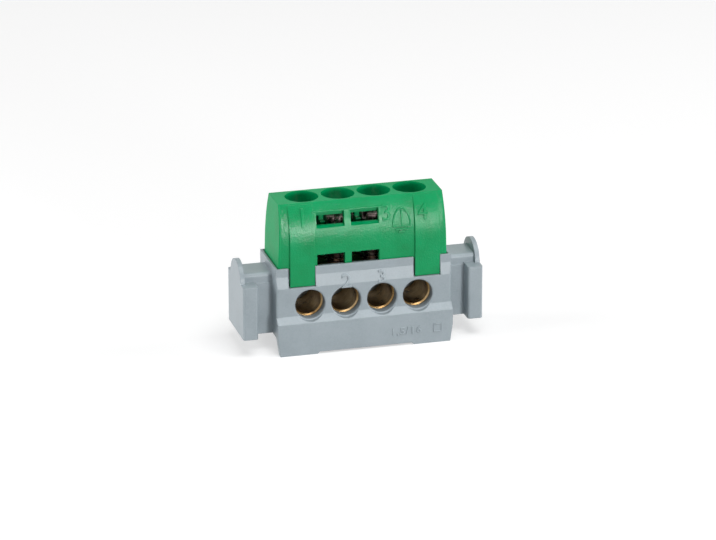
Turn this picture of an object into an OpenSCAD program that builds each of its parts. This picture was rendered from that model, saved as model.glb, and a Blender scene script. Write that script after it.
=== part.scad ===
// Earth terminal bar with four ways. A moulded base holds one brass bar, four clamp screws run
// in the bar, and a clip-on cover closes the base. X runs along the row, the wires enter from
// -Y, and Z is up. The origin is at the middle of the row, on the level of the feet.

/* [Row] */
// Distance between the centres of neighbouring ways
pitch = 7; // [6.8:0.1:8]
// Length of the base past the centre of the first and of the last way
end_margin = 6.6; // [6.2:0.1:9]
// Length of the brass bar past the centre of the first and of the last way
bar_margin = 4; // [3.4:0.1:4.4]

/* [Brass bar] */
// Depth of the bar, along the wires
bar_depth = 8.6; // [8:0.1:9.2]
// Radius of each wire bore
bore_r = 2.6; // [2.55:0.05:2.8]
// Metal left under each wire bore
bar_skin = 1; // [0.7:0.1:2]
// Height of the threaded metal above each wire bore
thread_len = 3.8; // [3:0.1:5]
// Bevel at the mouth of each wire bore
bore_bevel = 0.25; // [0.1:0.05:0.4]

/* [Clamp screws] */
// Nominal diameter of the screws
screw_d = 5; // [4:0.1:5]
// Length of a screw below its head
screw_len = 10; // [8:0.1:11]
// Diameter of the screw head
head_d = 5.8; // [5.2:0.1:5.9]
// Height of the screw head
head_h = 2.8; // [2:0.1:3.2]
// Height of the cone at the tip of a screw
point_h = 1.3; // [0.6:0.1:1.6]
// Gap between a backed-out screw and the roof of its wire bore
tip_gap = 0.2; // [0.1:0.05:0.6]
// Width of the slots in the screw head
slot_w = 0.9; // [0.6:0.1:1.2]
// Depth of the slots in the screw head
slot_h = 1.2; // [0.8:0.1:1.6]

/* [Base] */
// Wall of the base in front of the bar and behind it
base_wall = 2; // [1.8:0.1:2.6]
// Floor of the base between the mounting channel and the bar
base_floor = 2.5; // [2:0.1:4]
// Height of the base wall above the bar
rim_rise = 1; // [0.8:0.1:1.6]
// Height of the upright band under the rim
rim_band = 1.6; // [1.2:0.1:2]
// Height of the slope that carries the way numbers
number_slope = 2.3; // [1.6:0.1:2.6]
// How far that slope leans back
face_lean = 0.4; // [0.2:0.05:0.6]
// Thickness of the lip around the foot of the cover
lip_wall = 0.35; // [0.3:0.05:0.5]
// Extra lip thickness at both ends of the base
end_lip = 0.1; // [0:0.05:0.4]
// Depth of the seat of the cover below the lip
seat_drop = 0.3; // [0.2:0.05:0.5]
// Rounding of the upright corners
corner_r = 0.5; // [0.3:0.1:1]
// Radius that the wire hole in the wall has over the bore
funnel = 0.3; // [0.2:0.05:0.35]
// Bevel around each wire hole
hole_bevel = 0.2; // [0.1:0.05:0.3]

/* [Skirts] */
// Width of the flat mounting bar that the base straddles
rail_w = 12; // [11:0.1:13]
// Thickness of that mounting bar
rail_t = 2; // [1.5:0.1:2.2]
// Height of the channel between the skirts
channel_h = 3.5; // [3.3:0.1:5]
// Thickness of the skirts
skirt_wall = 1.4; // [1.3:0.05:2]
// Height of the skirts' outer faces
skirt_h = 6.35; // [5.6:0.05:6.5]
// Length of each of the four feet
foot_len = 7.2; // [5:0.1:12]
// How far the feet reach below the middle of the skirts
foot_drop = 0.4; // [0.2:0.05:0.8]
// How far the ends of the skirts lean in
skirt_lean = 0.5; // [0.2:0.05:1]
// Size of the ridges that snap under the mounting bar
snap = 0.4; // [0.2:0.05:0.5]
// Length of those ridges
snap_len = 4.8; // [3:0.1:5]

/* [End lugs] */
// Width of the slot between the base and each lug
lug_gap = 3.4; // [2.5:0.1:5]
// Thickness of each lug
lug_t = 2.9; // [2:0.1:4]
// Height of the lugs above the roof of the channel
lug_h = 10.4; // [8:0.1:10.8]
// How far the lugs stay behind the front and the back of the base
lug_inset = 0.2; // [0.1:0.05:1]
// Depth of the web that carries each lug
web_depth = 6.6; // [4:0.1:8]
// Depth of the rail on top of the web
top_rail_depth = 6.2; // [5:0.1:6.4]
// Height of that rail
top_rail_h = 1.7; // [1:0.1:2]
// Rounding of the rail's upper edges
top_rail_r = 0.7; // [0.3:0.1:0.9]
// Size of the groove under the rail
groove = 0.25; // [0.15:0.05:0.4]
// Radius of the half-round tab at the end
tab_r = 4; // [3.4:0.1:5]
// Thickness of that tab
tab_t = 0.9; // [0.6:0.1:1.4]

/* [Cover] */
// Height of the cover above its seat
cover_h = 12.3; // [12:0.1:16]
// Wall thickness of the cover
cover_wall = 1.2; // [0.9:0.1:1.4]
// Thickness of the top, which is the depth of the screwdriver wells
cover_top = 2.75; // [2.4:0.05:3]
// Height at which the front starts to curve back
dome_rise = 3.8; // [3:0.1:5]
// How far the curved front leans back at the top
dome_lean = 1.95; // [1.4:0.05:2.1]
// How far each end leans in at the top
end_lean = 0.5; // [0.2:0.05:0.8]
// Rounding of the edges at both ends
edge_r = 0.45; // [0.2:0.05:0.8]
// Radius of the screwdriver wells
well_r = 3.2; // [3.0:0.05:3.3]
// Thickness of the webs between the ways
web_t = 0.9; // [0.6:0.1:0.9]
// Depth of those webs
web_d = 4.4; // [3:0.1:6]
// Gap at the seam between cover and lip
seam = 0.2; // [0.1:0.05:0.3]

/* [Cover legs] */
// Width of the legs
leg_w = 4.8; // [3:0.1:5]
// Distance from the centre of the first way to the centre of the left legs, outwards
leg_shift_left = 1.35; // [0.8:0.05:2.4]
// Distance from the centre of the last way to the centre of the right legs, outwards
leg_shift_right = 2; // [0.8:0.05:2.4]
// How far the legs reach below the seat
leg_drop = 3.5; // [3:0.1:3.6]
// Thickness of the legs
leg_t = 0.9; // [0.7:0.05:1]
// How far the legs stand out from the cover
leg_proud = 0.5; // [0.3:0.05:0.6]
// Gap on the left of each leg in its recess
leg_slack = 0.4; // [0.1:0.05:0.6]
// Height of the hook at the foot of each leg
hook_h = 0.8; // [0.5:0.1:1.2]
// Width of that hook
hook_w = 3; // [2:0.1:3.6]
// How far that hook reaches in
hook_d = 0.4; // [0.2:0.05:0.5]

/* [Windows] */
// Width of each window
window_w = 5.4; // [4:0.05:6]
// Width of the bar between two windows
window_bar = 1.3; // [1:0.05:2]
// Distance of the pair of windows from the middle of the row, to the left
window_shift = 2.85; // [1:0.05:3.2]
// Height of the upper windows
window_h = 1.8; // [1:0.05:2]
// Drop of their sills towards the front
sill_drop = 0.45; // [0.2:0.05:0.6]
// Height of the pocket around each upper window
pocket_h = 3.1; // [2.8:0.1:3.4]
// Depth of that pocket
pocket_d = 1.7; // [1.5:0.1:2]
// How far the panel around the windows stands proud at its top
panel_proud = 0.35; // [0.2:0.05:0.45]
// Rim of that panel above the pockets
panel_rim = 0.25; // [0.2:0.05:0.4]
// Height of the notches in the lower edge
notch_h = 2.35; // [1.5:0.05:3]

/* [Fits] */
// Clearance around the brass bar
bar_clear = 0.1; // [0.05:0.05:0.3]
// Radial clearance of the screws in the bar
screw_clear = 0.05; // [0.02:0.01:0.1]
// Clearance around the mounting bar, on the width
rail_clear = 0.3; // [0.1:0.05:0.6]
// Clearance between the mounting bar and the ridges under it
snap_clear = 0.1; // [0.05:0.05:0.3]
// Clearance of the legs and hooks in the base, apart from the gap on the left
leg_clear = 0.05; // [0.02:0.01:0.1]

/* [Hidden] */
$fn = 96;
ways = 4;
over = 1; // how far a cutter runs past its work
band_end = 0.3; // where the bands of the legs end below the top
row_half = (ways - 1) * pitch / 2;
// Half depths, from the brass bar outwards
bar_y = bar_depth / 2;
trough_y = bar_y + bar_clear;
base_y = trough_y + base_wall;
rim_y = base_y - face_lean;
cover_y = rim_y - lip_wall - seam;
leg_y = cover_y + leg_proud;
leg_in_y = leg_y - leg_t;
channel_y = (rail_w + rail_clear) / 2;
skirt_y = channel_y + skirt_wall;
// Half lengths
bar_x = row_half + bar_margin;
base_x = row_half + end_margin;
cover_x = base_x - lip_wall - end_lip - seam;
lug_x = base_x + lug_gap;
end_x = lug_x + lug_t;
legs = [-row_half - leg_shift_left, row_half + leg_shift_right];
// Levels, from the feet up
bar_z = channel_h + base_floor;
wire_z = bar_z + bar_skin + bore_r;
bore_top_z = wire_z + bore_r;
hole_r = bore_r + funnel;
bar_top_z = bore_top_z + thread_len;
rim_z = bar_top_z + rim_rise;
seat_z = rim_z - seat_drop;
slope_top_z = rim_z - rim_band;
slope_z = slope_top_z - number_slope;
ledge_z = skirt_h + skirt_y - base_y;
lug_top_z = channel_h + lug_h;
cover_top_z = seat_z + cover_h;
ceiling_z = cover_top_z - cover_top;
sill_z = ceiling_z - window_h;
pocket_z = sill_z - sill_drop + pocket_h;
panel_z = pocket_z + panel_rim;
leg_z = seat_z - leg_drop;
tip_z = bore_top_z + tip_gap;
head_z = tip_z + screw_len;

// Radius of an arc that leans back by lean over a height of rise
function arc_r(rise, lean) = (rise * rise + lean * lean) / (2 * lean);

// Both ends of the row, or both sides, from one half
module both_ends() { children(); mirror([1, 0, 0]) children(); }
module both_sides() { children(); mirror([0, 1, 0]) children(); }

// A block centred on X and Y that stands on z
module block(x, y, z, h) { translate([-x, -y, z]) cube([2 * x, 2 * y, h]); }

// An upright block with rounded corners
module round_block(x, y, z, h, r) {
    translate([0, 0, z]) linear_extrude(h) {
        square([2 * (x - r), 2 * y], center = true);
        square([2 * x, 2 * (y - r)], center = true);
        for (sx = [-1, 1], sy = [-1, 1]) translate([sx * (x - r), sy * (y - r)]) circle(r);
    }
}

// Extrudes a section drawn in Y and Z along X
module along_row(from, to) {
    rotate([90, 0, 90]) translate([0, 0, from]) linear_extrude(to - from) children();
}

// Runs its children once for each way, at the centre of that way
module each_way() { for (i = [0 : ways - 1]) translate([i * pitch - row_half, 0, 0]) children(); }

// ---- base ----

// Section of the body above the channel, with the ledges and the sloped bands
module body_section() {
    polygon([
        [-skirt_y, channel_h], [-skirt_y, skirt_h], [-base_y, ledge_z], [-base_y, slope_z],
        [-rim_y, slope_top_z], [-rim_y, rim_z], [rim_y, rim_z], [rim_y, slope_top_z],
        [base_y, slope_z], [base_y, ledge_z], [skirt_y, skirt_h], [skirt_y, channel_h]
    ]);
}

// The upright corners above the ledge, rounded
module corner_trim() {
    h = rim_z - ledge_z + over;
    both_ends() both_sides() difference() {
        translate([base_x - corner_r, base_y - corner_r, ledge_z]) cube([corner_r + over, corner_r + over, h]);
        translate([base_x - corner_r, base_y - corner_r, ledge_z - over]) cylinder(r = corner_r, h = h + 2 * over);
    }
}

// One skirt, its ends leaning in and its middle raised between the two feet
module skirt() {
    foot_x = base_x - skirt_lean;
    translate([0, channel_y, 0]) rotate([90, 0, 0]) translate([0, 0, -skirt_wall])
        linear_extrude(skirt_wall) polygon([
            [-foot_x, 0], [-foot_x + foot_len, 0], [-foot_x + foot_len + foot_drop, foot_drop],
            [foot_x - foot_len - foot_drop, foot_drop], [foot_x - foot_len, 0], [foot_x, 0],
            [base_x, channel_h], [base_x, channel_h + over], [-base_x, channel_h + over],
            [-base_x, channel_h]
        ]);
}

// Ridge inside a skirt, above one foot, that snaps under the mounting bar
module snap_ridge() {
    z = channel_h - rail_t - snap_clear;
    x = base_x - skirt_lean - foot_len / 2;
    along_row(x - snap_len / 2, x + snap_len / 2)
        polygon([[channel_y, z], [channel_y - snap, z - snap], [channel_y, z - 2 * snap]]);
}

// Section of the rail on top of a lug, with rounded upper edges
module top_rail_section() {
    y = top_rail_depth / 2;
    z = lug_top_z + top_rail_h;
    translate([-y, lug_top_z - over]) square([2 * y, top_rail_h + over - top_rail_r]);
    translate([-y + top_rail_r, lug_top_z]) square([2 * (y - top_rail_r), top_rail_h]);
    for (s = [-1, 1]) translate([s * (y - top_rail_r), z - top_rail_r]) circle(top_rail_r);
}

// One end lug: a web, the lug itself, the rail across both and the half-round tab
module lug() {
    translate([base_x - over, -web_depth / 2, channel_h])
        cube([lug_gap + 2 * over, web_depth, lug_h - groove]);
    translate([lug_x + lug_t / 2, 0, 0])
        round_block(lug_t / 2, base_y - lug_inset, channel_h, lug_h, corner_r);
    along_row(base_x - over, end_x - tab_t / 2) top_rail_section();
    translate([end_x - tab_t, 0, lug_top_z - groove]) rotate([0, 90, 0]) cylinder(r = tab_r, h = tab_t);
}

// Recess in one side of the base for a leg of the cover, with a slot for its hook
module leg_recess() {
    left = leg_slack;
    z = leg_z - 2 * leg_clear;
    translate([-leg_w / 2 - left, leg_in_y - leg_clear, z]) cube([leg_w + left + leg_clear, base_y, rim_z]);
    translate([-hook_w / 2 - left, trough_y - over, leg_z - leg_clear])
        cube([hook_w + left + leg_clear, base_wall + over, hook_h + 3 * leg_clear]);
}

module base() {
    color([0.62, 0.66, 0.69]) difference() {
        union() {
            along_row(-base_x, base_x) body_section();
            both_sides() skirt();
            both_ends() both_sides() snap_ridge();
            both_ends() lug();
        }
        corner_trim();
        // Trough for the brass bar, open at the top
        block(bar_x + bar_clear, trough_y, bar_z, rim_z);
        // Seat of the cover inside the lip
        block(cover_x + seam, cover_y + seam, seat_z, over);
        for (x = legs) translate([x, 0, 0]) both_sides() leg_recess();
        // Wire holes in the front wall
        each_way() translate([0, 0, wire_z]) rotate([90, 0, 0]) {
            translate([0, 0, trough_y - over]) cylinder(r = hole_r, h = base_wall + 2 * over);
            translate([0, 0, base_y - hole_bevel]) cylinder(r1 = hole_r, r2 = hole_r + hole_bevel, h = hole_bevel);
            translate([0, 0, base_y]) cylinder(r = hole_r + hole_bevel, h = skirt_wall + over);
        }
    }
}

// ---- cover ----

// Half of the domed form: its front is upright up to the curve and then leans back.
// Grown by out, with the curve leaning back by lean, and rounded by r at both ends.
module dome_front(out, lean, r) {
    x = cover_x + min(out, 0);
    y = cover_y + out;
    start_z = seat_z + dome_rise;
    radius = arc_r(cover_h - dome_rise, lean);
    translate([0, radius - y, start_z]) rotate([0, 90, 0]) rotate_extrude($fn = 180) {
        translate([0, -x]) square([radius - r, 2 * x]);
        translate([0, r - x]) square([radius, 2 * (x - r)]);
        for (s = [-1, 1]) translate([radius - r, s * (x - r)]) circle(r, $fn = 48);
    }
    translate([0, cover_y, 0]) round_block(x, 2 * cover_y + out, leg_z - over, start_z - leg_z + over, r);
}

// The two leaning ends, as a wedge over the whole depth
module lean_ends() {
    depth = 2 * base_y;
    translate([0, depth / 2, 0]) rotate([90, 0, 0]) linear_extrude(depth) polygon([
        [-cover_x, seat_z], [cover_x, seat_z], [cover_x - end_lean, cover_top_z], [end_lean - cover_x, cover_top_z]
    ]);
}

module dome() {
    intersection() {
        dome_front(0, dome_lean, edge_r);
        mirror([0, 1, 0]) dome_front(0, dome_lean, edge_r);
        lean_ends();
    }
}

// The hollow of the cover, one wall inside the dome and open at the bottom
module hollow() {
    x = cover_x - end_lean - cover_wall;
    intersection() {
        dome_front(-cover_wall, dome_lean, edge_r);
        mirror([0, 1, 0]) dome_front(-cover_wall, dome_lean, edge_r);
        block(x, base_y, leg_z - over, ceiling_z - leg_z + over);
    }
}

// A leg and the band above it that runs up the curved front into the top
module leg() {
    low = cover_y - dome_lean;
    intersection() {
        mirror([0, 1, 0]) dome_front(leg_proud, dome_lean + leg_proud, edge_r);
        translate([-leg_w / 2, low, seat_z + over]) cube([leg_w, leg_y - low, cover_h - over - band_end]);
    }
    translate([-leg_w / 2, leg_in_y, leg_z]) cube([leg_w, leg_t, dome_rise + leg_drop]);
    // Hook that snaps into the slot in the base
    translate([-hook_w / 2, leg_in_y - hook_d, leg_z]) cube([hook_w, hook_d + leg_t / 2, hook_h]);
}

// Left edges of the two columns of windows
function window_x(i) = i * (window_w + window_bar) - window_w - window_bar / 2 - window_shift;

// Flat panel around the windows. It leans back less than the curve does, so it stands proud
// at its top and sinks into the curve lower down. It starts at the band of the left leg.
module window_panel() {
    rise = panel_z - seat_z - dome_rise;
    radius = arc_r(cover_h - dome_rise, dome_lean);
    lean = radius - sqrt(radius * radius - rise * rise) - panel_proud;
    along_row(legs[0] + leg_w / 2 - panel_rim, window_x(1) + window_w + window_bar / 2) polygon([
        [lean * (1 - pocket_h / rise) - cover_y, panel_z - pocket_h], [lean - cover_y, panel_z],
        [dome_lean - cover_y, panel_z], [dome_lean - cover_y, panel_z - pocket_h]
    ]);
}

// Pocket and window in the curved front, and the notch below them
module window_column() {
    front = -cover_y - over;
    along_row(0, window_w) polygon([
        [front, sill_z - sill_drop], [-cover_y, sill_z - sill_drop], [cover_wall - cover_y, sill_z],
        [-over, sill_z], [-over, ceiling_z], [pocket_d - cover_y, ceiling_z],
        [pocket_d - cover_y, pocket_z], [front, pocket_z]
    ]);
    translate([0, front, seat_z - over]) cube([window_w, cover_wall + 2 * over, notch_h + over]);
}

module cover() {
    color([0.02, 0.58, 0.35]) difference() {
        union() {
            difference() {
                union() {
                    dome();
                    window_panel();
                }
                hollow();
            }
            for (x = legs) translate([x, 0, 0]) both_sides() leg();
            // Webs between the ways, hanging from the top
            for (i = [1 : ways - 1]) translate([i * pitch - pitch / 2 - row_half, 0, 0])
                block(web_t / 2, web_d / 2, seat_z + over, ceiling_z - seat_z);
        }
        each_way() translate([0, 0, ceiling_z - over]) cylinder(r = well_r, h = cover_top + 2 * over);
        for (i = [0, 1]) translate([window_x(i), 0, 0]) window_column();
    }
}

// ---- metal parts ----

module terminal_bar() {
    color([0.72, 0.56, 0.30]) difference() {
        block(bar_x, bar_y, bar_z, bar_top_z - bar_z);
        each_way() {
            translate([0, bar_y + over, wire_z]) rotate([90, 0, 0]) cylinder(r = bore_r, h = bar_depth + 2 * over);
            both_sides() translate([0, bar_y - bore_bevel, wire_z]) rotate([-90, 0, 0])
                cylinder(r1 = bore_r, r2 = bore_r + bore_bevel + over, h = bore_bevel + over);
            translate([0, 0, wire_z]) cylinder(d = screw_d, h = bar_top_z - wire_z + over);
        }
    }
}

// A clamp screw, backed out, with a cone at its tip and two crossed slots in its head
module clamp_screw(way) {
    shank_r = screw_d / 2 - screw_clear;
    translate([(way - 1) * pitch - row_half, 0, 0]) color([0.75, 0.76, 0.78]) difference() {
        union() {
            translate([0, 0, tip_z]) cylinder(r1 = shank_r - point_h, r2 = shank_r, h = point_h);
            translate([0, 0, tip_z + point_h]) cylinder(r = shank_r, h = screw_len - point_h + head_h / 2);
            translate([0, 0, head_z]) cylinder(d = head_d, h = head_h);
        }
        for (turn = [0, 90]) rotate([0, 0, turn])
            block(head_d / 2 + over, slot_w / 2, head_z + head_h - slot_h, slot_h + over);
    }
}

module screw_1() { clamp_screw(1); }
module screw_2() { clamp_screw(2); }
module screw_3() { clamp_screw(3); }
module screw_4() { clamp_screw(4); }

base();
cover();
terminal_bar();
screw_1();
screw_2();
screw_3();
screw_4();
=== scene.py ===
import math

import bpy
from mathutils import Matrix, Vector


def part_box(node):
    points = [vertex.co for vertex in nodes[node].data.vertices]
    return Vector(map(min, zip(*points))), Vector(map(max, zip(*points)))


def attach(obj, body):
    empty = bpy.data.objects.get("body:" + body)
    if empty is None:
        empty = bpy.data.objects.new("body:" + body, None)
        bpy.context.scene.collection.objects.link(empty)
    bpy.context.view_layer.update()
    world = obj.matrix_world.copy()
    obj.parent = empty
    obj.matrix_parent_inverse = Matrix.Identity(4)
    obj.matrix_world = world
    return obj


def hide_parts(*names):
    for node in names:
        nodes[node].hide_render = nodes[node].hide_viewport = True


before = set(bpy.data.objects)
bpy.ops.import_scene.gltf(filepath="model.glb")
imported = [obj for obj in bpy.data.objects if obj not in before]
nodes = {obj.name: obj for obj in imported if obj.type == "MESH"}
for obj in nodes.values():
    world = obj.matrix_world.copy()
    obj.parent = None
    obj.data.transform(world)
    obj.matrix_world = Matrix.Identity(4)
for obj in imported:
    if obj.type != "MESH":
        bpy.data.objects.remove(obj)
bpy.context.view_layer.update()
mm = 0.001
print("frame loaded:", ", ".join(sorted(nodes)))


# One value of a shader: an output socket that takes part in plain expressions
class Signal:
    def __init__(self, shader, socket):
        self.shader = shader
        self.socket = socket

    def math(self, operation, *values):
        return self.shader.add("Math", {"operation": operation}, dict(enumerate(values)))

    def __add__(self, other):
        return self.math("ADD", self, other)

    def __radd__(self, other):
        return self.math("ADD", other, self)

    def __sub__(self, other):
        return self.math("SUBTRACT", self, other)

    def __rsub__(self, other):
        return self.math("SUBTRACT", other, self)

    def __mul__(self, other):
        return self.math("MULTIPLY", self, other)

    def __rmul__(self, other):
        return self.math("MULTIPLY", other, self)

    def clamped(self, low, high):
        return self.math("MINIMUM", self.math("MAXIMUM", self, low), high)


# The node tree of a material or of the world, built by one method for every kind of node
class Shader:
    def __init__(self, owner):
        self.owner = owner
        owner.use_nodes = True
        self.tree = owner.node_tree
        self.tree.nodes.clear()

    def add(self, kind, settings=None, inputs=None, output=0):
        node = self.tree.nodes.new("ShaderNode" + kind)
        for key, value in (settings or {}).items():
            if key == "stops":
                ramp = node.color_ramp
                while len(ramp.elements) < len(value):
                    ramp.elements.new(1.0)
                for element, (place, color) in zip(ramp.elements, value):
                    element.position = place
                    element.color = (*color, 1.0)
            else:
                setattr(node, key, value)
        for key, value in (inputs or {}).items():
            if isinstance(value, Signal):
                self.tree.links.new(value.socket, node.inputs[key])
            else:
                node.inputs[key].default_value = value
        return Signal(self, node.outputs[output]) if node.outputs else node

    def math(self, operation, *values):
        return self.add("Math", {"operation": operation}, dict(enumerate(values)))

    def place(self, scale=(1, 1, 1)):
        here = self.add("TexCoord", output="Object")
        return self.add("Mapping", {}, {"Vector": here, "Scale": scale})

    def noise(self, scale, detail=2.0, rough=0.5, stretch=(1, 1, 1)):
        return self.add("TexNoise", {}, {
            "Vector": self.place(stretch), "Scale": scale, "Detail": detail, "Roughness": rough})

    def mixed(self, amount, first, second):
        return self.add("Mix", {"data_type": "RGBA"}, {0: amount, 6: first, 7: second}, output=2)

    def toned(self, amount, tones):
        # dark, middle and light tone, each at its place from 0 to 1
        stops = [(place, rgb(*tone)[:3]) for place, tone in tones]
        return self.add("ValToRGB", {"stops": stops}, {0: amount})

    def seenDirectly(self):
        # 1 for what the camera sees, also in a mirror or through glass, and 0 for the light on the part
        camera, glass, mirror = (
            self.add("LightPath", {}, {}, f"Is {kind} Ray") for kind in ("Camera", "Transmission", "Glossy"))
        return self.math("MAXIMUM", self.math("MAXIMUM", camera, glass), mirror)

    def finish(self, surface, kind="OutputMaterial"):
        self.add(kind, {}, {"Surface": surface})
        return self.owner


def newShader(name):
    return Shader(bpy.data.materials.new(name))


def rgb(red, green, blue):
    # a colour as seen on a screen, from 0 to 255, as the linear value that sockets take
    def linear(c):
        c = c / 255
        return c / 12.92 if c <= 0.04045 else ((c + 0.055) / 1.055) ** 2.4
    return (linear(red), linear(green), linear(blue), 1.0)


def softEdge(shader, radius):
    # rounded look along the sharp edges of a moulding
    return shader.add("Bevel", {"samples": 6}, {"Radius": radius})


greyMoulding = {
    "plain": (154, 165, 171), "pale": (161, 171, 177), "deep": (146, 157, 163),
    "rough": 0.34, "roughSpread": 0.12, "specular": 0.35,
    "clouding": 170.0, "grain": 5200.0, "grainDepth": 0.014 * mm, "edge": 0.2 * mm}


def greyPlastic(spec):
    s = newShader("greyMoulding")
    cloud = s.noise(spec["clouding"], 3.0, 0.6)
    fleck = s.noise(spec["grain"] * 0.6, 1.0)
    tone = (cloud * 0.7 + fleck * 0.3).clamped(0.0, 1.0)
    color = s.toned(tone, ((0.3, spec["deep"]), (0.5, spec["plain"]), (0.72, spec["pale"])))
    grain = s.noise(spec["grain"], 3.0, 0.6)
    swell = s.noise(spec["grain"] * 0.12, 2.0)
    bump = s.add("Bump", {}, {
        "Strength": 0.5, "Distance": spec["grainDepth"], "Height": grain + swell * 1.5,
        "Normal": softEdge(s, spec["edge"])})
    rough = spec["rough"] + (cloud - 0.5) * spec["roughSpread"] + (grain - 0.5) * 0.08
    return s.finish(s.add("BsdfPrincipled", {}, {
        "Base Color": color, "Roughness": rough, "Specular IOR Level": spec["specular"], "Normal": bump}))


greenMoulding = {
    "plain": (0, 149, 88), "pale": (0, 154, 93), "deep": (0, 141, 81),
    "rough": 0.21, "coarse": 0.55, "roughSpread": 0.10, "specular": 0.23,
    "clouding": 210.0, "grain": 3000.0, "grainDepth": 0.09 * mm, "edge": 0.13 * mm,
    "endX": 16.05 * mm, "endLean": 0.0407, "footZ": 16.7 * mm, "topZ": 28.9 * mm, "wear": 3.0}


def greenPlastic(spec):
    s = newShader("greenMoulding")
    cloud = s.noise(spec["clouding"], 3.0, 0.6)
    color = s.toned(cloud, ((0.3, spec["deep"]), (0.5, spec["plain"]), (0.72, spec["pale"])))
    grain = s.noise(spec["grain"], 2.0, 0.7)
    bump = s.add("Bump", {}, {
        "Strength": 0.6, "Distance": spec["grainDepth"], "Height": grain,
        "Normal": softEdge(s, spec["edge"])})
    # the ends and the top have a coarser finish than the domed front, and the right is a little duller
    where, height = (s.add("SeparateXYZ", {}, {0: s.add("TexCoord", output="Object")}, axis) for axis in "XZ")
    lean = (height - spec["footZ"]) * spec["endLean"]
    ends = s.math("GREATER_THAN", s.math("ABSOLUTE", where) + lean, spec["endX"])
    coarse = s.math("MAXIMUM", ends, s.math("GREATER_THAN", height, spec["topZ"]))
    rough = spec["rough"] + coarse * (spec["coarse"] - spec["rough"]) + (
        cloud - 0.5) * spec["roughSpread"] + (grain - 0.5) * 0.1 + where * spec["wear"]
    return s.finish(s.add("BsdfPrincipled", {}, {
        "Base Color": color, "Roughness": rough, "Specular IOR Level": spec["specular"], "Normal": bump}))


machinedBrass = {
    "bright": (224, 200, 158), "plain": (176, 142, 94), "tarnish": (96, 68, 42),
    "patches": 260.0, "rings": 5200.0, "ringDepth": 0.006 * mm, "edge": 0.08 * mm, "rough": 0.30}


def brassMetal(spec):
    s = newShader("machinedBrass")
    patch = s.noise(spec["patches"], 4.0, 0.65)
    # drawn lines along the bar, which are turning rings inside the bores
    rings = s.noise(spec["rings"], 2.0, 0.6, (0.02, 1.0, 0.06))
    worn = (patch * 0.75 + rings * 0.25).clamped(0.0, 1.0)
    color = s.toned(worn, ((0.28, spec["tarnish"]), (0.5, spec["plain"]), (0.75, spec["bright"])))
    bump = s.add("Bump", {}, {
        "Strength": 0.6, "Distance": spec["ringDepth"], "Height": rings, "Normal": softEdge(s, spec["edge"])})
    rough = spec["rough"] + (patch - 0.5) * 0.25
    return s.finish(s.add("BsdfPrincipled", {}, {
        "Base Color": color, "Metallic": 1.0, "Roughness": rough, "Normal": bump}))


platedSteel = {
    "bright": (168, 156, 154), "plain": (128, 112, 110), "dull": (70, 54, 54),
    "rough": 0.28, "patches": 900.0, "turning": 7000.0, "turnDepth": 0.004 * mm, "edge": 0.06 * mm}


def steelMetal(spec):
    s = newShader("platedSteel")
    patch = s.noise(spec["patches"], 4.0, 0.6)
    turned = s.noise(spec["turning"], 2.0, 0.5, (0.12, 0.12, 1.0))
    color = s.toned(patch, ((0.3, spec["dull"]), (0.5, spec["plain"]), (0.72, spec["bright"])))
    bump = s.add("Bump", {}, {
        "Strength": 0.5, "Distance": spec["turnDepth"], "Height": turned + patch,
        "Normal": softEdge(s, spec["edge"])})
    rough = spec["rough"] + (patch - 0.5) * 0.2
    return s.finish(s.add("BsdfPrincipled", {}, {
        "Base Color": color, "Metallic": 1.0, "Roughness": rough, "Normal": bump}))


finishes = {
    "grey_moulding": greyPlastic(greyMoulding),
    "green_moulding": greenPlastic(greenMoulding),
    "brass": brassMetal(machinedBrass),
    "steel": steelMetal(platedSteel)}


def coat(obj, slot):
    obj.data.materials.clear()
    obj.data.materials.append(finishes[slot])


for name, slot in (("base", "grey_moulding"), ("cover", "green_moulding"), ("terminal_bar", "brass")):
    nodes[name].material_slots[0].material = finishes[slot]
print("finishes made")


def start():
    bpy.ops.object.select_all(action="DESELECT")


def only(obj):
    bpy.ops.object.select_all(action="DESELECT")
    obj.select_set(True)
    bpy.context.view_layer.objects.active = obj


def inEdit(obj, mode):
    # clears the selection of faces, edges or vertices in a mesh
    only(obj)
    bpy.ops.object.mode_set(mode="EDIT")
    bpy.ops.mesh.select_mode(type=mode)
    bpy.ops.mesh.select_all(action="DESELECT")
    bpy.ops.object.mode_set(mode="OBJECT")


def pickEdges(obj, test):
    # selects the edges whose middle and run pass the test, and stays in edit mode
    inEdit(obj, "EDGE")
    for edge in obj.data.edges:
        a, b = (obj.data.vertices[v].co for v in edge.vertices)
        edge.select = test((a + b) / 2, b - a)
    bpy.ops.object.mode_set(mode="EDIT")


def done():
    bpy.ops.object.mode_set(mode="OBJECT")


def settle(obj):
    # puts a piece's place into its mesh
    only(obj)
    bpy.ops.object.transform_apply(location=True, rotation=True, scale=True)


def modify(obj, kind, **settings):
    only(obj)
    modifier = obj.modifiers.new(kind.lower(), kind)
    for key, value in settings.items():
        setattr(modifier, key, value)
    bpy.ops.object.modifier_apply(modifier=modifier.name)


def outward(obj):
    inEdit(obj, "VERT")
    bpy.ops.object.mode_set(mode="EDIT")
    bpy.ops.mesh.select_all(action="SELECT")
    bpy.ops.mesh.remove_doubles(threshold=1e-7)
    bpy.ops.mesh.normals_make_consistent(inside=False)
    done()


def smooth(obj, degrees=32):
    only(obj)
    bpy.ops.object.shade_smooth_by_angle(angle=math.radians(degrees))


clampScrew = {
    "shank": 2.08 * mm, "crest": 2.44 * mm, "pitch": 0.8 * mm, "root": 0.14 * mm, "head": 2.8 * mm,
    "point": 1.3 * mm, "rim": 0.32 * mm, "slot": 0.9 * mm, "slotDepth": 1.2 * mm, "slotEdge": 0.14 * mm,
    "pit": 0.9 * mm, "pitTip": 0.1 * mm, "tuck": 0.4 * mm, "turns": (0, 24, 71, 128, 47)}


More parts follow.
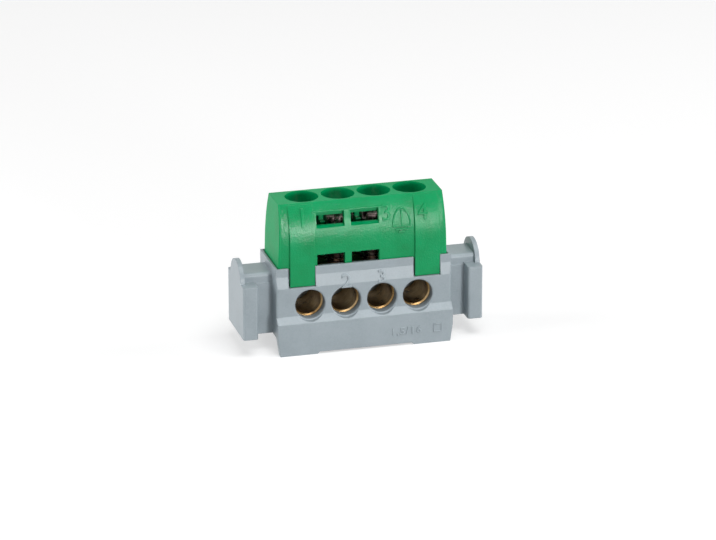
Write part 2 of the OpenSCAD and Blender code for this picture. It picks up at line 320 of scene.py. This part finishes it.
def makeScrew(spec):
    low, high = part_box("screw_1")
    headR = (high.x - low.x) / 2
    headZ = high.z - spec["head"]
    # head, with a rounded rim and a small edge below
    start()
    bpy.ops.mesh.primitive_cylinder_add(
        vertices=72, radius=headR, depth=spec["head"], location=(0, 0, headZ + spec["head"] / 2))
    head = bpy.context.object
    settle(head)
    pickEdges(head, lambda c, d: c.z > high.z - 1e-6 and d.length < headR)
    bpy.ops.mesh.bevel(offset=spec["rim"], segments=4, affect="EDGES")
    done()
    pickEdges(head, lambda c, d: c.z < headZ + 1e-6 and d.length < headR)
    bpy.ops.mesh.bevel(offset=spec["rim"] / 3, segments=2, affect="EDGES")
    done()
    # crossed slots with sloping floors, and the pit in the middle
    for turn in (0, math.pi / 2):
        start()
        bpy.ops.mesh.primitive_cube_add(size=1, location=(0, 0, high.z))
        cutter = bpy.context.object
        cutter.scale = (headR * 2.4, spec["slot"], spec["slotDepth"] * 2)
        cutter.rotation_euler.z = turn
        settle(cutter)
        pickEdges(cutter, lambda c, d: c.z < high.z - 1e-6 and d.z ** 2 < 1e-12)
        bpy.ops.mesh.bevel(offset=spec["slotEdge"], segments=2, affect="EDGES")
        done()
        modify(head, "BOOLEAN", operation="DIFFERENCE", object=cutter, solver="EXACT")
        bpy.data.objects.remove(cutter)
    start()
    bpy.ops.mesh.primitive_cone_add(
        vertices=32, radius1=spec["pitTip"], radius2=spec["pit"], depth=spec["slotDepth"] * 1.6,
        location=(0, 0, high.z - spec["slotDepth"] * 0.72))
    cutter = bpy.context.object
    settle(cutter)
    modify(head, "BOOLEAN", operation="DIFFERENCE", object=cutter, solver="EXACT")
    bpy.data.objects.remove(cutter)
    # shank: a core with a cone, and the thread wound round it
    shoulder = low.z + spec["point"]
    start()
    bpy.ops.mesh.primitive_cylinder_add(
        vertices=48, radius=spec["shank"], depth=headZ + spec["tuck"] - low.z,
        location=(0, 0, (headZ + spec["tuck"] + low.z) / 2))
    shank = bpy.context.object
    settle(shank)
    pickEdges(shank, lambda c, d: c.z < low.z + 1e-6 and d.length < headR)
    bpy.ops.mesh.bevel(offset=spec["point"] * 0.75, segments=1, affect="EDGES")
    done()
    rise = (spec["crest"] - spec["shank"] + spec["root"]) / 1.5
    turns = int((headZ - shoulder) / spec["pitch"])
    start()
    bpy.ops.mesh.primitive_circle_add(
        vertices=3, radius=rise, rotation=(math.pi / 2, math.pi / 2, 0),
        location=(spec["crest"] - rise, 0, shoulder + spec["pitch"] * 0.3))
    thread = bpy.context.object
    settle(thread)
    modify(thread, "SCREW", axis="Z", angle=math.tau, screw_offset=spec["pitch"], iterations=turns,
           steps=36, render_steps=36, use_merge_vertices=False)
    inEdit(thread, "EDGE")
    bpy.ops.object.mode_set(mode="EDIT")
    bpy.ops.mesh.select_all(action="SELECT")
    bpy.ops.mesh.fill_holes(sides=4)
    done()
    for part in (shank, thread):
        outward(part)
    only(head)
    shank.select_set(True)
    thread.select_set(True)
    bpy.ops.object.join()
    screw = bpy.context.object
    smooth(screw, 34)
    screw.data.transform(Matrix.Translation((middleX("screw_1"), 0, 0)))
    return screw


def middleX(node):
    low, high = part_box(node)
    return (low.x + high.x) / 2


# the first screw goes to its place last, because the others are copied from it
firstScrew = makeScrew(clampScrew)
for way in (2, 3, 4, 1):
    node = f"screw_{way}"
    piece = firstScrew
    if way > 1:
        piece = firstScrew.copy()
        piece.data = firstScrew.data.copy()
        bpy.context.collection.objects.link(piece)
    piece.name = f"clamp_screw_piece_{way}"
    # each head stops at its own angle
    turn = Matrix.Rotation(math.radians(clampScrew["turns"][way]), 4, "Z")
    piece.data.transform(
        Matrix.Translation((middleX(node), 0, 0)) @ turn @ Matrix.Translation((-middleX("screw_1"), 0, 0)))
    coat(piece, "steel")
    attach(piece, f"clamp_screw_{way}")
    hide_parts(node)
print("clamp screws made")


# the curved front of the cover, and of the bands on its legs: where it starts and how far it leans
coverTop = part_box("cover")[1].z
domeFront = {"y": -5.45 * mm, "z": 20.5 * mm, "lean": 1.95 * mm}
bandFront = {"y": -5.95 * mm, "z": 20.5 * mm, "lean": 2.45 * mm}
slopeFront = {"low": (-6.4 * mm, 13.1 * mm), "high": (-6.0 * mm, 15.4 * mm)}


def onDome(obj, front):
    # lays a flat sign, drawn in X and Z with its rise in -Y, on the curved front
    rise = coverTop - front["z"]
    radius = (rise ** 2 + front["lean"] ** 2) / (2 * front["lean"])
    for v in obj.data.vertices:
        height, out = v.co.z - front["z"], -v.co.y
        turn = math.asin(min(1, height / radius))
        v.co.y = front["y"] + radius - (radius + out) * math.cos(turn)
        v.co.z = front["z"] + (radius + out) * math.sin(turn)
    obj.data.update()


def onSlope(obj, front):
    (y1, z1), (y2, z2) = front["low"], front["high"]
    for v in obj.data.vertices:
        share = max(0.0, (v.co.z - z1) / (z2 - z1))
        v.co.y += y1 + (y2 - y1) * share
    obj.data.update()


def sliced(obj, step):
    # level cuts, so that a flat sign can follow the curve
    inEdit(obj, "FACE")
    low = min(v.co.z for v in obj.data.vertices)
    high = max(v.co.z for v in obj.data.vertices)
    bpy.ops.object.mode_set(mode="EDIT")
    for i in range(1, int((high - low) / step) + 1):
        bpy.ops.mesh.select_all(action="SELECT")
        bpy.ops.mesh.bisect(plane_co=(0, 0, low + i * step), plane_no=(0, 0, 1))
    done()


# edge of every raised stroke, and the height of a figure as a share of its font's size
signEdge, figureShare = 0.04 * mm, 0.69


def raisedText(name, body, x, z, height, rise=0.2 * mm, spread=1.0, spacing=1.0):
    # lettering drawn in X and Z, whose face stands out by its rise in -Y
    start()
    bpy.ops.object.text_add(location=(0, 0, 0))
    sign = bpy.context.object
    sign.name = name
    data = sign.data
    data.body, data.size = body, height / figureShare
    data.align_x, data.align_y = "CENTER", "CENTER"
    data.space_character = spacing
    data.resolution_u = 4
    data.extrude, data.bevel_depth, data.bevel_resolution = rise - signEdge, signEdge, 1
    bpy.ops.object.convert(target="MESH")
    sign = bpy.context.object
    sign.rotation_euler.x = math.pi / 2
    settle(sign)
    low = Vector([min(v.co[i] for v in sign.data.vertices) for i in range(3)])
    high = Vector([max(v.co[i] for v in sign.data.vertices) for i in range(3)])
    size = height / (high.z - low.z)
    sign.data.transform(Matrix.Translation((x, 0, z)) @ Matrix.Diagonal((size * spread, 1, size, 1))
                        @ Matrix.Translation((-(low.x + high.x) / 2, 0, -(low.z + high.z) / 2)))
    outward(sign)
    return sign


coverSigns = {
    "sign_way_1": ("1", -11.6, 26.35, 3.4, bandFront),
    "sign_way_3": ("3", 4.65, 26.0, 3.1, domeFront),
    "sign_way_4": ("4", 11.65, 25.65, 2.9, bandFront)}
for name, (body, x, z, height, front) in coverSigns.items():
    sign = raisedText(name, body, x * mm, z * mm, height * mm)
    sliced(sign, 0.4 * mm)
    onDome(sign, front)
    smooth(sign, 40)
    coat(sign, "green_moulding")
    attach(sign, "block")

baseSigns = {
    "sign_base_2": ("2", -3.45, 13.7, 2.7),
    "sign_base_3": ("3", 3.42, 13.92, 2.45)}
for name, (body, x, z, height) in baseSigns.items():
    sign = raisedText(name, body, x * mm, z * mm, height * mm, 0.22 * mm, 1.12)
    sliced(sign, 0.3 * mm)
    onSlope(sign, slopeFront)
    smooth(sign, 40)
    coat(sign, "grey_moulding")
    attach(sign, "block")
print("way numbers made")


wireRange = {
    "x": 8.0 * mm, "z": 2.85 * mm, "height": 1.75 * mm, "rise": 0.14 * mm, "squareX": 14.1 * mm,
    "squareUp": 0.15 * mm, "side": 1.5 * mm, "line": 0.22 * mm, "squareRise": 0.12 * mm}


def bar(width, height, x, z, rise, turn=0.0):
    # one stroke of a drawn sign, with a small bevel round its face
    start()
    bpy.ops.mesh.primitive_cube_add(size=1, location=(x, 0, z))
    stroke = bpy.context.object
    stroke.scale = (width, 2 * rise, height)
    stroke.rotation_euler.y = turn
    settle(stroke)
    pickEdges(stroke, lambda c, d: c.y < -rise + 1e-7)
    bpy.ops.mesh.bevel(offset=signEdge, segments=1, affect="EDGES")
    done()
    return stroke


def joined(name, parts):
    only(parts[0])
    for part in parts[1:]:
        part.select_set(True)
    bpy.ops.object.join()
    whole = bpy.context.object
    whole.name = name
    return whole


def makeWireRange(spec):
    sign = raisedText(
        "sign_wire_range", "1,5/16", spec["x"], spec["z"], spec["height"], spec["rise"], 1.05, 1.15)
    # the square that stands for square millimetres
    side, line, half = spec["side"], spec["line"], spec["side"] / 2
    x, z = spec["squareX"], spec["z"] + spec["squareUp"]
    strokes = [bar(side, line, x, z + way * half, spec["squareRise"]) for way in (1, -1)]
    strokes += [bar(line, side + line, x + way * half, z, spec["squareRise"]) for way in (-1, 1)]
    sign = joined("sign_wire_range", [sign, *strokes])
    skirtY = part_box("base")[0].y
    sign.data.transform(Matrix.Translation((0, skirtY, 0)))
    return sign


rangeSign = makeWireRange(wireRange)
smooth(rangeSign, 40)
coat(rangeSign, "grey_moulding")
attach(rangeSign, "block")


earthSign = {"x": 7.6 * mm, "z": 23.25 * mm, "arch": 1.65 * mm, "tall": 1.95, "line": 0.28 * mm,
             "rise": 0.2 * mm, "bars": ((3.6 * mm, 0.0), (2.7 * mm, -0.58 * mm), (1.5 * mm, -1.08 * mm))}


def makeEarthSign(spec):
    # an arch on the longest of three bars, with the conductor coming down in its middle
    parts = [bar(width, spec["line"], spec["x"], spec["z"] + z, spec["rise"]) for width, z in spec["bars"]]
    stem = spec["arch"] * 1.7
    parts.append(bar(spec["line"], stem, spec["x"], spec["z"] + stem / 2, spec["rise"]))
    steps, reach = 12, spec["arch"] * 1.02
    for i in range(steps):
        turn = math.pi * (i + 0.5) / steps
        span = math.pi / steps * math.hypot(math.sin(turn), spec["tall"] * math.cos(turn))
        parts.append(bar(
            reach * span * 1.15, spec["line"], spec["x"] + reach * math.cos(turn),
            spec["z"] + reach * spec["tall"] * math.sin(turn), spec["rise"],
            math.atan2(-spec["tall"] * math.cos(turn), -math.sin(turn))))
    sign = joined("sign_earth", parts)
    sliced(sign, 0.45 * mm)
    onDome(sign, domeFront)
    return sign


symbol = makeEarthSign(earthSign)
smooth(symbol, 40)
coat(symbol, "green_moulding")
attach(symbol, "block")
print("earth sign and wire range made")

cameraSetup = {
    "azimuth": -15.23, "elevation": 20.36, "distance": 0.792, "lens": 210.2,
    "aim": (0.34 * mm, -0.6 * mm, 13.4 * mm)}


def makeCamera(spec):
    azimuth, elevation = math.radians(spec["azimuth"]), math.radians(spec["elevation"])
    back = Vector((math.sin(azimuth) * math.cos(elevation), -math.cos(azimuth) * math.cos(elevation),
                   math.sin(elevation)))
    camera = bpy.data.objects.new("camera", bpy.data.cameras.new("camera"))
    bpy.context.scene.collection.objects.link(camera)
    camera.data.lens, camera.data.sensor_width = spec["lens"], 36.0
    camera.data.clip_start, camera.data.clip_end = 0.02, 20.0
    camera.location = Vector(spec["aim"]) + back * spec["distance"]
    camera.rotation_euler = (-back).to_track_quat("-Z", "Y").to_euler()
    bpy.context.scene.camera = camera


makeCamera(cameraSetup)


partMiddle = 14 * mm
softBoxes = {
    "left_box": {"towards": (-0.95, 0.12, 0.28), "distance": 0.60, "size": (0.40, 0.40), "level": 0.75},
    "front_box": {"towards": (0.22, -0.965, 0.11), "distance": 0.75, "size": (0.15, 0.07), "level": 0.42},
    "top_box": {"towards": (0.10, -0.32, 0.94), "distance": 0.70, "size": (0.45, 0.40), "level": 0.58},
    "right_box": {"towards": (0.92, -0.14, 0.36), "distance": 0.65, "size": (0.30, 0.30), "level": 0.40}}


def makeLight(name, spec):
    # level is what the light gives to a white surface that faces it
    data = bpy.data.lights.new(name, "AREA")
    data.shape = "RECTANGLE"
    data.size, data.size_y = spec["size"]
    data.energy = spec["level"] * math.pi ** 2 * spec["distance"] ** 2
    lamp = bpy.data.objects.new(name, data)
    bpy.context.scene.collection.objects.link(lamp)
    towards = Vector(spec["towards"]).normalized()
    lamp.location = Vector((0, 0, partMiddle)) + towards * spec["distance"]
    lamp.rotation_euler = towards.to_track_quat("Z", "Y").to_euler()
    lamp.visible_camera = False


for name, spec in softBoxes.items():
    makeLight(name, spec)


def makeWorld(ambient):
    world = bpy.data.worlds.new("studio")
    bpy.context.scene.world = world
    s = Shader(world)
    strength = s.add("MapRange", {}, {"Value": s.seenDirectly(), "To Min": ambient, "To Max": 1.0})
    s.finish(s.add("Background", {}, {"Color": (1, 1, 1, 1), "Strength": strength}), "OutputWorld")


makeWorld(0.09)


floorSpec = {"radius": 3.0, "dark": (0.54, 0.54, 0.54, 1.0), "pale": (0.56, 0.56, 0.56, 1.0), "lift": 0.52}


def makeFloor(spec):
    start()
    bpy.ops.mesh.primitive_circle_add(vertices=96, radius=spec["radius"], fill_type="NGON")
    floor = bpy.context.object
    floor.name = "floor"
    settle(floor)
    s = newShader("paleFloor")
    speck = s.noise(900.0, 2.0)
    color = s.mixed(speck, spec["dark"], spec["pale"])
    matt = s.add("BsdfPrincipled", {}, {"Base Color": color, "Roughness": 0.8, "Specular IOR Level": 0.1})
    lift = s.add("Emission", {}, {"Color": (1, 1, 1, 1), "Strength": s.seenDirectly() * spec["lift"]})
    floor.data.materials.append(s.finish(s.add("AddShader", {}, {0: matt, 1: lift})))


makeFloor(floorSpec)
bpy.context.scene.view_settings.view_transform = "Standard"
print("camera, lights and floor made")
